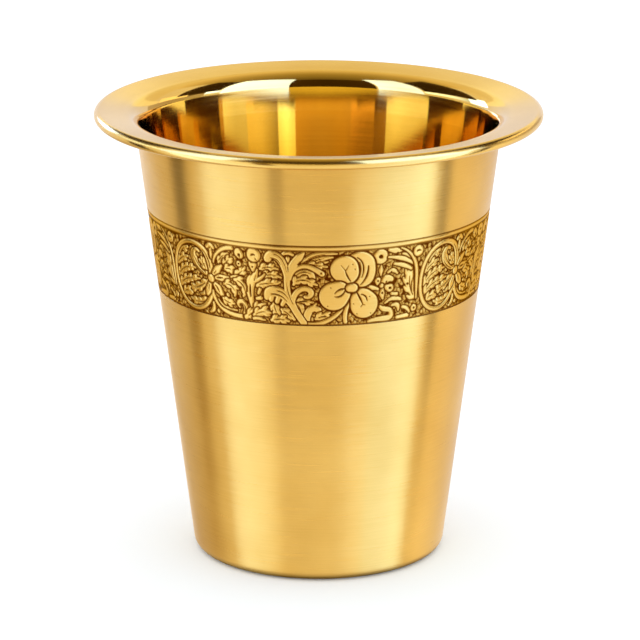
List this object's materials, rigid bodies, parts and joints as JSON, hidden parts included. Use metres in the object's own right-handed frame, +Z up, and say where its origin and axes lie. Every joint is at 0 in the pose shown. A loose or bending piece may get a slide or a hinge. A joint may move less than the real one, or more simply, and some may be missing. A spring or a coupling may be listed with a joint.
{
  "type": "tumbler",
  "caption": "Tapered brass drinking tumbler with a wide flared, wired lip and an engraved floral band round its upper wall.",
  "frame": {"origin": "centre of the foot, on the surface that the tumbler stands on", "axes": "+Z up along the tumbler's axis of revolution, -Y towards the viewer of the engraved front"},
  "size_m": [0.0946, 0.0946, 0.0964],
  "materials": {
    "satin_brass": "satin, brushed round the wall",
    "polished_brass": "polished",
    "engraved_brass": "satin, with darkened engraving",
    "brazing_brass": "satin",
    "wire_brass": "drawn"
  },
  "bodies": {
    "root": {"cup_wall": "satin_brass", "base_disc": "polished_brass", "base_braze_ring": "brazing_brass", "flared_rim": "polished_brass", "rim_wire": "wire_brass", "rim_braze_ring": "brazing_brass", "engraved_band": "engraved_brass"}
  },
  "joints": []
}
